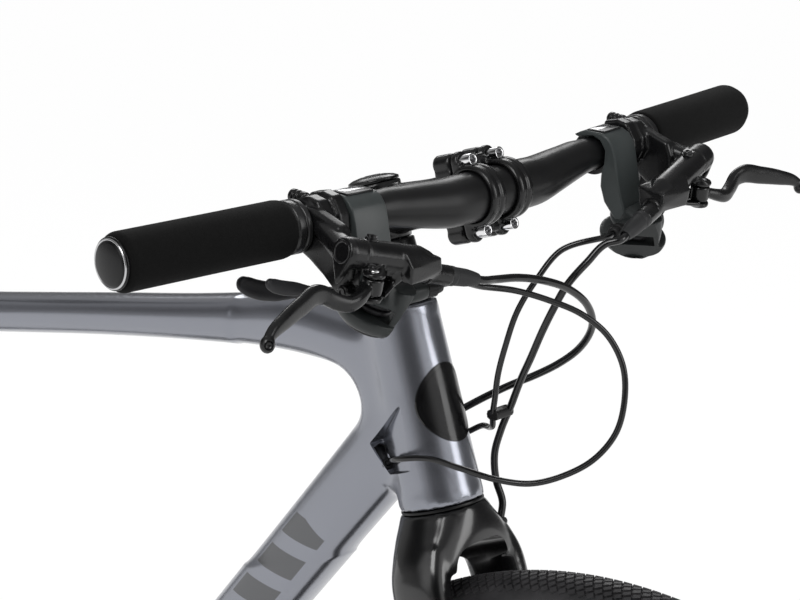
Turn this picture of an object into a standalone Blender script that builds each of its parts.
"""Flat bar road bike with disc brakes, as an assembly of separate pieces.

Lengths are in millimetres and angles in degrees. +X points forward, +Y to the rider's left, +Z up.
The origin lies on the ground, halfway between the two axles. Meshes are made in millimetres in
the bike's own frame, and turned into metres about each piece's pivot by make_object.
"""
import math

import bpy
import bmesh
from mathutils import Matrix, Vector

# Wheels and tyres
wheelbase = 1012.0
tyre_height = 35.0
tyre_width = 35.0
tyre_wall = 3.2
bead_radius = 311.0
rim_width = 24.0
rim_depth = 24.0
spoke_count = 28
spoke_diameter = 2.2
front_hub_width = 100.0
rear_hub_width = 142.0
thru_axle_diameter = 12.0
rotor_radius = 80.0
rotor_thickness = 1.9
rotor_inset = 15.3

# Frame geometry
head_angle = 72.71
fork_rake = 47.0
crown_above_tyre = 46.0
lower_bearing_height = 2.0
head_tube_length = 132.9
head_tube_bottom_radius = 28.3
head_tube_top_radius = 24.4
bottom_bracket_drop = 70.0
chainstay_past_tyre = 84.0
seat_angle = 73.5
seat_tube_length = 505.0
seat_tube_radius = 16.6
top_tube_below_collar = 34.0
down_tube_head_rise = 63.0
top_tube_width = 38.0
top_tube_depth = 29.0
down_tube_width = 46.0
down_tube_depth = 53.0
corner_radius = 28.5
corner_back = 54.5
corner_drop = 79.6
gusset_width = 32.0
bb_shell_width = 68.0
bb_shell_radius = 22.0
bb_bore_radius = 17.5

# Saddle and seatpost
seatpost_diameter = 27.2
seatpost_exposed = 170.0
seatpost_inserted = 90.0
saddle_length = 272.0
saddle_width = 146.0
saddle_height = 52.0
rail_diameter = 7.0
rail_spacing = 44.0

# Drive train
chain_pitch = 12.7
large_ring_teeth = 48
small_ring_teeth = 32
sprocket_teeth = (11, 12, 13, 14, 16, 18, 20, 23, 26, 30)
engaged_sprocket_index = 4
pulley_teeth = 11
ring_line = 46.0
ring_spacing = 5.0
ring_thickness = 1.8
sprocket_spacing = 3.95
crank_length = 172.5
crank_end_offset = 71.0
crank_end_thickness = 13.0
spindle_radius = 12.0

# Steering and cockpit
steerer_radius = 14.3
bearing_radius = 20.6
stem_rise_above_head = 61.3
stem_length = 95.8
stem_angle = 0.13
bar_clamp_diameter = 31.8
bar_end_diameter = 22.2
bar_half_length = 297.0
bar_straight_half = 40.0
bar_sweep = 5.8
bar_rise = 5.4
faceplate_half_width = 20.0
faceplate_bolt_spacing = 26.0
faceplate_bolt_offset = 22.5
grip_length = 122.0
grip_diameter = 33.0
grip_collar_length = 11.0
lever_clamp_inboard = 9.0
lever_clamp_width = 11.0
shifter_inboard = 41.0
shifter_width = 46.0
hose_diameter = 5.0
shift_cable_diameter = 4.0

# Clearances
seat_gap = 0.3
running_gap = 0.6

# Colours as 0 to 255 screen values
metallic_grey = (155, 158, 164)
gloss_black = (22, 22, 24)
satin_black = (40, 40, 42)
shifter_grey = (65, 66, 69)
foam_black = (24, 24, 24)
rubber_black = (52, 51, 54)
bright_steel = (215, 215, 218)
dull_steel = (140, 140, 142)


def clear_scene():
    for old in list(bpy.data.objects):
        bpy.data.objects.remove(old, do_unlink=True)


def linear(value):
    part = value / 255.0
    if part <= 0.04045:
        return part / 12.92
    return ((part + 0.055) / 1.055) ** 2.4


def make_material(name, colour, roughness, metallic):
    made = bpy.data.materials.new(name)
    made.use_nodes = True
    shader = made.node_tree.nodes["Principled BSDF"]
    shader.inputs["Base Color"].default_value = [linear(c) for c in colour] + [1.0]
    shader.inputs["Roughness"].default_value = roughness
    shader.inputs["Metallic"].default_value = metallic
    return made


def make_object(name, bm, look, pivot=(0.0, 0.0, 0.0), crease=35.0):
    """Turn a mesh in millimetres into a named object in metres with its origin on the pivot."""
    place = Vector(pivot)
    bmesh.ops.translate(bm, verts=bm.verts, vec=-place)
    bmesh.ops.scale(bm, verts=bm.verts, vec=(0.001, 0.001, 0.001))
    mesh = bpy.data.meshes.new(name)
    bm.to_mesh(mesh)
    bm.free()
    mesh.shade_smooth()
    mesh.set_sharp_from_angle(angle=math.radians(crease))
    mesh.materials.append(look)
    made = bpy.data.objects.new(name, mesh)
    made.location = place * 0.001
    bpy.context.scene.collection.objects.link(made)
    return made


def outward(bm):
    """Point the faces of a closed shape outwards."""
    bmesh.ops.recalc_face_normals(bm, faces=bm.faces)
    if bm.calc_volume(signed=True) < 0:
        bmesh.ops.reverse_faces(bm, faces=bm.faces)
    return bm


def section(centre, across, up, half_across, half_up, count=12, power=2.0):
    """A ring of points round centre, from a circle at power 2 towards a box at higher powers."""
    ring = []
    for k in range(count):
        turn = 2.0 * math.pi * (k + 0.5) / count
        c, s = math.cos(turn), math.sin(turn)
        x = math.copysign(abs(c) ** (2.0 / power), c) * half_across
        z = math.copysign(abs(s) ** (2.0 / power), s) * half_up
        ring.append(Vector(centre) + Vector(across) * x + Vector(up) * z)
    return ring


def loft(rings):
    """Close a row of equal rings into one solid with flat ends."""
    bm = bmesh.new()
    rows = [[bm.verts.new(p) for p in ring] for ring in rings]
    count = len(rows[0])
    for low, high in zip(rows, rows[1:]):
        for k in range(count):
            j = (k + 1) % count
            bm.faces.new((low[k], low[j], high[j], high[k]))
    bm.faces.new(list(reversed(rows[0])))
    bm.faces.new(rows[-1])
    return outward(bm)


def sweep(points, sizes, count=10, power=2.0, side=(0.0, 1.0, 0.0)):
    """A solid swept along points, with half sizes (across side, along the normal) at each."""
    pts = [Vector(p) for p in points]
    rings = []
    for k, here in enumerate(pts):
        before = pts[max(k - 1, 0)]
        after = pts[min(k + 1, len(pts) - 1)]
        along = (after - before).normalized()
        up = along.cross(Vector(side)).normalized()
        across = up.cross(along).normalized()
        half_across, half_up = sizes[k] if isinstance(sizes, list) else sizes
        rings.append(section(here, across, up, half_across, half_up, count, power))
    return loft(rings)


def axis_frame(axis):
    """Two directions square to an axis and to each other."""
    along = Vector(axis).normalized()
    helper = Vector((0.0, 0.0, 1.0)) if abs(along.z) < 0.9 else Vector((1.0, 0.0, 0.0))
    first = helper.cross(along).normalized()
    return along, first, along.cross(first).normalized()


def lathe(profile, origin, axis, steps=24, closed=False):
    """Spin a profile of (along, radius) points round an axis into a closed solid."""
    along, first, _ = axis_frame(axis)
    base = Vector(origin)
    bm = bmesh.new()
    verts = [bm.verts.new(base + along * a + first * r) for a, r in profile]
    edges = [bm.edges.new(pair) for pair in zip(verts, verts[1:])]
    if closed:
        edges.append(bm.edges.new((verts[-1], verts[0])))
    bmesh.ops.spin(bm, geom=verts + edges, cent=base, axis=along, angle=2.0 * math.pi,
                   steps=steps, use_merge=True, use_duplicate=False)
    bmesh.ops.remove_doubles(bm, verts=bm.verts, dist=0.0005)
    return outward(bm)


def turning_bore(radius, steps):
    """Radius of a bore with that many sides in which a shaft of that radius turns freely."""
    return (radius + seat_gap) / math.cos(math.pi / steps)


def rod(start, end, radius, steps=12, end_radius=None):
    """A straight round bar between two points."""
    first, last = Vector(start), Vector(end)
    length = (last - first).length
    far = radius if end_radius is None else end_radius
    return lathe([(0.0, 0.0), (0.0, radius), (length, far), (length, 0.0)], first, last - first, steps)


def block(centre, size, turn=None, bevel=0.0, segments=1):
    """A box, turned by a matrix, with its edges rounded by bevel."""
    bm = bmesh.new()
    bmesh.ops.create_cube(bm, size=1.0)
    bmesh.ops.scale(bm, verts=bm.verts, vec=size)
    if bevel:
        bmesh.ops.bevel(bm, geom=list(bm.edges), offset=bevel, segments=segments, profile=0.5,
                        affect="EDGES", clamp_overlap=True)
    if turn is not None:
        bmesh.ops.transform(bm, matrix=turn.to_4x4(), verts=bm.verts)
    bmesh.ops.translate(bm, verts=bm.verts, vec=centre)
    return bm


def prism(outline, depth_from, depth_to, across=(1.0, 0.0, 0.0), up=(0.0, 0.0, 1.0),
          origin=(0.0, 0.0, 0.0)):
    """A flat outline in the plane of across and up, given thickness square to it."""
    a, u, base = Vector(across), Vector(up), Vector(origin)
    deep = u.cross(a).normalized()
    bm = bmesh.new()
    verts = [bm.verts.new(base + a * x + u * z + deep * depth_from) for x, z in outline]
    face = bm.faces.new(verts)
    grown = bmesh.ops.extrude_face_region(bm, geom=[face])
    moved = [g for g in grown["geom"] if isinstance(g, bmesh.types.BMVert)]
    bmesh.ops.translate(bm, verts=moved, vec=deep * (depth_to - depth_from))
    return outward(bm)


def hull(points):
    """The smallest convex solid round a few points."""
    bm = bmesh.new()
    for p in points:
        bm.verts.new(p)
    bmesh.ops.convex_hull(bm, input=bm.verts)
    bmesh.ops.dissolve_limit(bm, angle_limit=0.01, verts=bm.verts, edges=bm.edges)
    return outward(bm)


def loose_object(bm):
    mesh = bpy.data.meshes.new("working")
    bm.to_mesh(mesh)
    bm.free()
    made = bpy.data.objects.new("working", mesh)
    bpy.context.scene.collection.objects.link(made)
    return made


def boolean(base, tools, operation):
    """Join the tools to the base, or cut them from it, one after another."""
    body = loose_object(base)
    helpers = []
    for tool in tools:
        helper = loose_object(tool)
        step = body.modifiers.new("step", "BOOLEAN")
        step.operation = operation
        step.solver = "EXACT"
        step.object = helper
        helpers.append(helper)
    bpy.context.view_layer.update()
    solved = body.evaluated_get(bpy.context.evaluated_depsgraph_get())
    result = bmesh.new()
    result.from_mesh(solved.data)
    for done in helpers + [body]:
        mesh = done.data
        bpy.data.objects.remove(done, do_unlink=True)
        bpy.data.meshes.remove(mesh)
    bmesh.ops.remove_doubles(result, verts=result.verts, dist=0.004)
    bmesh.ops.dissolve_degenerate(result, dist=0.004, edges=result.edges)
    bmesh.ops.dissolve_limit(result, angle_limit=math.radians(0.6), verts=result.verts, edges=result.edges)
    bmesh.ops.triangulate(result, faces=result.faces)
    return result


def join(base, *tools):
    return boolean(base, tools, "UNION")


def cut(base, *tools):
    return boolean(base, tools, "DIFFERENCE")


def smooth_route(points, step):
    """Points at an even step along a smooth curve through a route's own points."""
    pts = [Vector(p) for p in points]
    ends = [pts[0] * 2 - pts[1]] + pts + [pts[-1] * 2 - pts[-2]]
    fine = []
    for k in range(1, len(ends) - 2):
        p0, p1, p2, p3 = ends[k - 1:k + 3]
        for n in range(20):
            t = n / 20.0
            fine.append(0.5 * ((2 * p1) + (p2 - p0) * t + (2 * p0 - 5 * p1 + 4 * p2 - p3) * t * t
                               + (3 * p1 - p0 - 3 * p2 + p3) * t ** 3))
    fine.append(pts[-1])
    total = sum((b - a).length for a, b in zip(fine, fine[1:]))
    count = max(int(round(total / step)), 2)
    route, walked, target = [fine[0]], 0.0, total / count
    for a, b in zip(fine, fine[1:]):
        length = (b - a).length
        while walked + length >= target - 1e-6 and len(route) < count:
            route.append(a.lerp(b, (target - walked) / length))
            target += total / count
        walked += length
    route.append(fine[-1])
    return route


def cable(name, points, diameter, look, step):
    """A round cable as a curve with a bevel, on a straight-sided spline along a smooth route."""
    route = smooth_route(points, step)
    curve = bpy.data.curves.new(name, "CURVE")
    curve.dimensions = "3D"
    curve.bevel_depth = diameter / 2000.0
    curve.bevel_resolution = 1
    curve.use_fill_caps = True
    spline = curve.splines.new("POLY")
    spline.points.add(len(route) - 1)
    for point, place in zip(spline.points, route):
        point.co = (place.x * 0.001, place.y * 0.001, place.z * 0.001, 1.0)
    curve.materials.append(look)
    made = bpy.data.objects.new(name, curve)
    bpy.context.scene.collection.objects.link(made)
    return made


# Places worked out from the driving dimensions
tyre_radius = bead_radius + tyre_height
axle_to_crown = tyre_radius + crown_above_tyre
chainstay_length = tyre_radius + chainstay_past_tyre
top_tube_joint = seat_tube_length - top_tube_below_collar
grip_start = bar_half_length - grip_length - grip_collar_length
lever_clamp_place = grip_start - lever_clamp_inboard
shifter_place = grip_start - shifter_inboard
rear_axle = Vector((-wheelbase / 2, 0.0, tyre_radius))
front_axle = Vector((wheelbase / 2, 0.0, tyre_radius))
head_lean = math.radians(head_angle)
head_up = Vector((-math.cos(head_lean), 0.0, math.sin(head_lean)))
head_forward = Vector((math.sin(head_lean), 0.0, math.cos(head_lean)))
crown_race = front_axle - head_forward * fork_rake + head_up * axle_to_crown
head_bottom = crown_race + head_up * lower_bearing_height
head_top = head_bottom + head_up * head_tube_length
stem_centre = head_top + head_up * stem_rise_above_head
stem_lift = math.radians(stem_angle)
stem_along = head_forward * math.cos(stem_lift) + head_up * math.sin(stem_lift)
stem_across = Vector((-stem_along.z, 0.0, stem_along.x))
bar_centre = stem_centre + stem_along * stem_length
bb_centre = Vector((rear_axle.x + math.sqrt(chainstay_length ** 2 - bottom_bracket_drop ** 2), 0.0,
                    tyre_radius - bottom_bracket_drop))
seat_lean = math.radians(seat_angle)
seat_up = Vector((-math.cos(seat_lean), 0.0, math.sin(seat_lean)))
seat_forward = Vector((math.sin(seat_lean), 0.0, math.cos(seat_lean)))
seat_top = bb_centre + seat_up * seat_tube_length
side = Vector((0.0, 1.0, 0.0))
dropout_inner = rear_hub_width / 2 + seat_gap
dropout_thickness = 8.0
dropout_centre = dropout_inner + dropout_thickness / 2

looks = {}


def make_looks():
    return {
        "frame": make_material("frame_paint", metallic_grey, 0.28, 0.75),
        "fork": make_material("fork_paint", gloss_black, 0.12, 0.0),
        "black": make_material("satin_alloy", satin_black, 0.4, 0.4),
        "shifter": make_material("shifter_plastic", shifter_grey, 0.5, 0.0),
        "foam": make_material("grip_foam", foam_black, 0.95, 0.0),
        "rubber": make_material("tyre_rubber", rubber_black, 0.85, 0.0),
        "chrome": make_material("chrome_bolt", bright_steel, 0.12, 1.0),
        "steel": make_material("plain_steel", dull_steel, 0.35, 1.0),
    }


def port_cutter(s):
    """The wedge shaped cable recess on one side of the head tube."""
    low = head_bottom.z + 14.0
    high = head_bottom.z + 68.0
    x = head_bottom.x
    return hull([(x - 34, s * 15, low), (x - 34, s * 44, low), (x - 4, s * 44, low), (x - 4, s * 29.5, low),
                 (x - 46, s * 15, low + 22), (x - 46, s * 44, low + 22), (x - 20, s * 44, high),
                 (x - 24, s * 44, high), (x - 20, s * 25.5, high), (x - 24, s * 22.5, high)])


def port_hole(s, place):
    """One cable hole in the back wall of the recess."""
    start = Vector((place[0], s * place[1], place[2]))
    inward = Vector((-0.80, -s * 0.20, -0.56)).normalized()
    return rod(start - inward * 10.0, start + inward * port_hole_depth, port_hole_radius, 8)


port_hole_radius = shift_cable_diameter / 2 + 1.2
port_hole_depth = 14.0
lower_port = (head_bottom.x - 37.0, 20.5, head_bottom.z + 21.5)
upper_port = (head_bottom.x - 42.5, 20.0, head_bottom.z + 31.0)


def make_frame():
    head = lathe([(0.0, 0.0), (0.0, head_tube_bottom_radius), (head_tube_length, head_tube_top_radius),
                  (head_tube_length, 0.0)], head_bottom, head_up, 18)

    start = bb_centre + seat_up * top_tube_joint
    end = head_top + Vector((-8.5, 0.0, -30.0))
    w, d = top_tube_width / 2, top_tube_depth / 2
    rows = ((0.0, 0.0, w - 3.0, d), (0.25, 4.3, w - 1.0, d), (0.5, 9.0, w, d + 0.3),
            (0.66, 11.0, w, d + 1.5), (0.76, 12.2, w + 0.5, d + 3.5), (0.845, 12.4, w + 1.0, d + 7.0),
            (0.92, 6.8, w + 1.5, d + 6.5), (1.0, 0.0, w + 1.5, d + 3.5))
    points = [start.lerp(end, t) + Vector((0.0, 0.0, rise)) for t, rise, _, _ in rows]
    top_tube = sweep(points, [(wide, deep) for _, _, wide, deep in rows], 10, 2.4)

    low = bb_centre + Vector((3.0, 0.0, 3.0))
    high = head_bottom + head_up * down_tube_head_rise
    w, d = down_tube_width / 2, down_tube_depth / 2
    sizes = ((0.0, w + 2.0, d - 6.0), (0.2, w + 1.0, d - 2.0), (0.6, w, d - 1.0), (0.85, w + 0.5, d),
             (1.0, w + 0.5, d + 1.5))
    points = [low.lerp(high, t) for t, _, _ in sizes]
    down_tube = sweep(points, [(wide, deep) for _, wide, deep in sizes], 10, 2.6)

    centre = head_top + Vector((-corner_back, 0.0, -corner_drop))
    c = corner_radius
    web = prism([(centre.x - 4.0, centre.z + c + 7.0), (centre.x + c * 2.5, centre.z + c + 12.0),
                 (centre.x + c * 2.9, centre.z - c * 1.3), (centre.x + c * 0.95, centre.z - c * 1.4),
                 (centre.x + c * 0.55, centre.z - c * 0.9)], -gusset_width / 2, gusset_width / 2)
    web = cut(web, rod(centre - side * 30.0, centre + side * 30.0, c, 20))

    seat_tube = lathe([(0.0, 0.0), (0.0, seat_tube_radius), (seat_tube_length - 22.0, seat_tube_radius),
                       (seat_tube_length, seat_tube_radius - 0.8), (seat_tube_length, 0.0)],
                      bb_centre, seat_up, 12)
    shell = lathe([(0.0, 0.0), (0.0, bb_shell_radius), (bb_shell_width, bb_shell_radius),
                   (bb_shell_width, 0.0)], bb_centre - side * (bb_shell_width / 2), side, 14)

    body = join(head, top_tube, down_tube, web, seat_tube, shell)
    for s in (-1, 1):
        body = join(body, make_chainstay(s), make_seatstay(s), make_dropout(s))
    body = join(body, block(bb_centre + Vector((-36.0, 0.0, 1.0)), (22.0, 52.0, 24.0), bevel=4.0))
    bridge = bb_centre + seat_up * (top_tube_joint - 62.0) + Vector((-44.0, 0.0, 0.0))
    body = join(body, rod(bridge - side * 26.0, bridge + side * 26.0, 6.0, 8))
    for height in (bottle_boss_low, bottle_boss_low + bottle_boss_spacing):
        body = join(body, bottle_boss(height))

    bore, seat = steerer_radius + 3.0, bearing_radius + seat_gap
    deep, full = bearing_depth, head_tube_length
    head_bore = lathe([(-1.0, 0.0), (-1.0, seat), (deep, seat), (deep, bore), (full - deep, bore),
                       (full - deep, seat), (full + 1.0, seat), (full + 1.0, 0.0)], head_bottom, head_up,
                      16)
    seat_bore = rod(seat_top - seat_up * (seatpost_inserted + 12.0), seat_top + seat_up * 1.0,
                    seatpost_diameter / 2 + seat_gap, 12)
    bb_bore = rod(bb_centre - side * (bb_shell_width / 2 + 1), bb_centre + side * (bb_shell_width / 2 + 1),
                  bb_bore_radius, 14)
    axle_bore = rod(rear_axle - side * 90.0, rear_axle + side * 90.0, thru_axle_diameter / 2 + seat_gap, 12)
    cutters = [head_bore, seat_bore, bb_bore, axle_bore]
    for s in (-1, 1):
        cutters.append(port_cutter(s))
        cutters += [port_hole(s, lower_port), port_hole(s, upper_port)]
    body = cut(body, *cutters)
    make_object("frame", body, looks["frame"])


bearing_depth = 7.0
bottle_boss_low = 250.0
bottle_boss_spacing = 64.0
down_tube_aim = (head_bottom + head_up * down_tube_head_rise - bb_centre).normalized()
down_tube_top = Vector((-down_tube_aim.z, 0.0, down_tube_aim.x))


def bottle_boss(height):
    """A flat topped cage boss on the upper side of the down tube."""
    foot = bb_centre + down_tube_aim * height + down_tube_top * 22.0
    return rod(foot, foot + down_tube_top * 7.0, 6.5, 8)


def make_chainstay(s):
    """From the shell's side out to the dropout, in shares of the reach back and of the rise."""
    reach = bb_centre.x - rear_axle.x
    rows = ((0.024, 22.0, 0.014, 8.5, 15.0), (0.113, 26.0, 0.043, 8.5, 14.5),
            (0.196, 31.5, 0.114, 8.5, 13.0), (0.349, 40.0, 0.286, 8.5, 11.0),
            (0.585, 55.5, 0.557, 8.5, 10.0), (0.825, 69.0, 0.814, 7.0, 10.0),
            (0.955, dropout_centre, 0.957, 4.0, 10.5), (0.992, dropout_centre, 0.993, 3.8, 10.5))
    points = [Vector((bb_centre.x - back * reach, s * out, bb_centre.z + rise * bottom_bracket_drop))
              for back, out, rise, _, _ in rows]
    return sweep(points, [(w, d) for _, _, _, w, d in rows], 8, 2.6)


def make_seatstay(s):
    top = bb_centre + seat_up * (top_tube_joint - 14.0)
    rows = ((0.0, 9.0, 7.0, 10.0), (0.12, 20.0, 7.0, 9.0), (0.3, 36.0, 6.5, 7.5), (0.62, 57.0, 6.0, 7.0),
            (0.9, dropout_centre - 1.0, 4.6, 7.5), (0.975, dropout_centre, 3.8, 8.0))
    foot = rear_axle + Vector((-3.0, 0.0, 10.0))
    points = [top.lerp(foot, t) + Vector((0.0, s * y, 0.0)) for t, y, _, _ in rows]
    return sweep(points, [(w, d) for _, _, w, d in rows], 8, 2.4)


def make_dropout(s):
    r = 15.0
    first, last = (0, 360) if s > 0 else (-20, 200)
    outline = [(rear_axle.x + r * math.cos(math.radians(a)), rear_axle.z + r * math.sin(math.radians(a)))
               for a in range(first, last, 20)]
    if s < 0:
        outline += [(rear_axle.x - 16.0, rear_axle.z - 34.0), (rear_axle.x - 3.0, rear_axle.z - 37.0),
                    (rear_axle.x + 5.0, rear_axle.z - 30.0)]
    near, far = sorted((s * dropout_inner, s * (dropout_inner + dropout_thickness)))
    return prism(outline, near, far)


def make_bottom_bracket():
    """Two cups joined by the sleeve that crosses the shell, with the spindle's bore through them."""
    half = bb_shell_width / 2 + seat_gap
    flange = 10.0
    sleeve = bb_bore_radius - seat_gap
    bore = turning_bore(spindle_radius, 14)
    profile = [(-half - flange, bore), (-half - flange, bb_shell_radius - 1.5),
               (-half - flange + 1.5, bb_shell_radius), (-half, bb_shell_radius), (-half, sleeve),
               (half, sleeve), (half, bb_shell_radius), (half + flange - 1.5, bb_shell_radius),
               (half + flange, bb_shell_radius - 1.5), (half + flange, bore)]
    make_object("bottom_bracket", lathe(profile, bb_centre, side, 14, closed=True), looks["black"],
                bb_centre)


def make_headset():
    bore = turning_bore(steerer_radius, 16)
    low = [(0.0, bore), (0.0, bearing_radius), (bearing_depth - seat_gap, bearing_radius),
           (bearing_depth - seat_gap, bore)]
    make_object("headset_lower_bearing", lathe(low, head_bottom, head_up, 16, closed=True), looks["steel"],
                head_bottom)
    cone_top = stem_rise_above_head - stem_clamp_height / 2 - seat_gap
    high = [(-bearing_depth + seat_gap, bore), (-bearing_depth + seat_gap, bearing_radius),
            (seat_gap, bearing_radius), (seat_gap, head_tube_top_radius - 0.6),
            (4.0, head_tube_top_radius - 1.0), (cone_top * 0.6, 19.5), (cone_top, 18.6), (cone_top, bore)]
    make_object("headset_upper_cover", lathe(high, head_top, head_up, 16, closed=True), looks["black"],
                head_top)


stem_clamp_height = 38.0
stem_clamp_radius = 17.4


def make_seatpost():
    foot = seat_top - seat_up * seatpost_inserted
    length = seatpost_inserted + seatpost_exposed
    r = seatpost_diameter / 2
    post = rod(foot, foot + seat_up * length, r, 12)
    top = foot + seat_up * length
    head = block(top + Vector((-2.0, 0.0, 4.0)), (42.0, 34.0, 14.0), bevel=3.0)
    yoke = block(top + Vector((-2.0, 0.0, 16.5)), (30.0, 40.0, 13.0), bevel=2.0)
    body = join(post, head, yoke)
    rail_z = saddle_rail_place().z
    grooves = [rod((top.x - 40.0, s * rail_spacing / 2, rail_z),
                   (top.x + 40.0, s * rail_spacing / 2, rail_z),
                   rail_diameter / 2 + seat_gap, 12) for s in (-1, 1)]
    body = cut(body, *grooves)
    make_object("seatpost", body, looks["black"], seat_top)

    inner = seat_tube_radius + 0.35
    ring = lathe([(-15.0, inner), (-15.0, inner + 2.6), (seat_gap + 0.7, inner + 2.6),
                  (seat_gap + 0.7, r + 0.5), (seat_gap, r + 0.5), (seat_gap, inner)], seat_top, seat_up,
                 12, closed=True)
    lug = block((0.0, 0.0, 0.0), (13.0, 17.0, 13.0), bevel=2.0)
    bmesh.ops.rotate(lug, verts=lug.verts, cent=(0, 0, 0),
                     matrix=Matrix.Rotation(seat_lean - math.pi / 2, 3, "Y"))
    bmesh.ops.translate(lug, verts=lug.verts, vec=seat_top - seat_forward * (inner + 8.0) - seat_up * 7.5)
    make_object("seat_collar", join(ring, lug), looks["black"], seat_top)


def saddle_rail_place():
    return seat_top + seat_up * seatpost_exposed + Vector((-2.0, 0.0, 17.0))


def make_saddle():
    clamp = saddle_rail_place()
    r = rail_diameter / 2
    half = rail_spacing / 2
    nose = Vector((clamp.x + 118.0, 0.0, clamp.z + 21.0))
    tail = Vector((clamp.x - 88.0, 0.0, clamp.z + 25.0))
    path = [(tail.x, half + 12.0, tail.z), (tail.x + 12.0, half + 9.0, tail.z - 12.0),
            (clamp.x - 50.0, half, clamp.z), (clamp.x, half, clamp.z), (clamp.x + 38.0, half, clamp.z),
            (clamp.x + 80.0, half - 11.0, clamp.z + 12.0), (nose.x, 7.5, nose.z),
            (nose.x + 8.0, 0.0, nose.z + 1.0)]
    route = [Vector(p) for p in path]
    route += [Vector((p[0], -p[1], p[2])) for p in reversed(path[:-1])]
    rails = sweep(route, (r, r), 8, 2.0, side=(0.0, 0.0, 1.0))
    make_object("saddle_rails", rails, looks["steel"], clamp)

    top = clamp.z + saddle_height
    back, front = clamp.x - 126.0, clamp.x - 126.0 + saddle_length
    half_width = saddle_width / 2
    stations = ((0.0, 0.72, -7.0, 20.0), (0.05, 0.9, -2.0, 25.0), (0.18, 1.0, 2.0, 27.0),
                (0.34, 0.86, 0.0, 25.0), (0.5, 0.55, -4.0, 24.0), (0.68, 0.32, -6.0, 24.0),
                (0.86, 0.26, -6.0, 24.0), (0.96, 0.22, -8.0, 21.0), (1.0, 0.14, -12.0, 14.0))
    rings = []
    for t, width, rise, deep in stations:
        w = half_width * width
        x = back + (front - back) * t
        crown = top + rise
        profile = [(-1.0, -deep), (-1.02, -deep * 0.55), (-0.88, -deep * 0.16), (-0.5, -1.2), (-0.18, -0.6),
                   (0.18, -0.6), (0.5, -1.2), (0.88, -deep * 0.16), (1.02, -deep * 0.55), (1.0, -deep),
                   (0.8, -deep + 3.5), (0.3, -deep * 0.62), (-0.3, -deep * 0.62), (-0.8, -deep + 3.5)]
        rings.append([Vector((x, w * a, crown + z)) for a, z in profile])
    sockets = [block(tail + Vector((2.0, s * (half + 12.0), 5.0)), (16.0, 14.0, 18.0)) for s in (-1, 1)]
    sockets.append(block(nose + Vector((4.0, 0.0, 5.5)), (18.0, 22.0, 17.0)))
    room = sweep(route, (r + seat_gap, r + seat_gap), 8, 2.0, side=(0.0, 0.0, 1.0))
    make_object("saddle", cut(join(loft(rings), *sockets), room), looks["foam"], clamp)


def make_rear_caliper():
    """A flat mount caliper on top of the left chainstay, open where the rotor runs through."""
    rotor_y = rear_hub_width / 2 - rotor_inset
    along = (bb_centre - rear_axle).normalized()
    place = rear_axle + along * 84.0 + Vector((9.5, 0.0, 36.0))
    body = block((0.0, 0.0, 2.0), (46.0, 27.0, 30.0), bevel=4.0)
    foot = block((0.0, 7.5, -19.0), (40.0, 9.0, 17.0))
    body = join(body, foot)
    slot = block((-8.0, 0.0, -7.5), (70.0, rotor_thickness + 2.2, 39.0))
    body = cut(body, slot)
    turn = Matrix.Rotation(math.atan2(bottom_bracket_drop, chainstay_length) * 1.2, 3, "Y")
    bmesh.ops.transform(body, matrix=turn.to_4x4(), verts=body.verts)
    bmesh.ops.translate(body, verts=body.verts, vec=(place.x, rotor_y, place.z))
    make_object("rear_caliper", body, looks["black"], (place.x, rotor_y, place.z))


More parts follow.
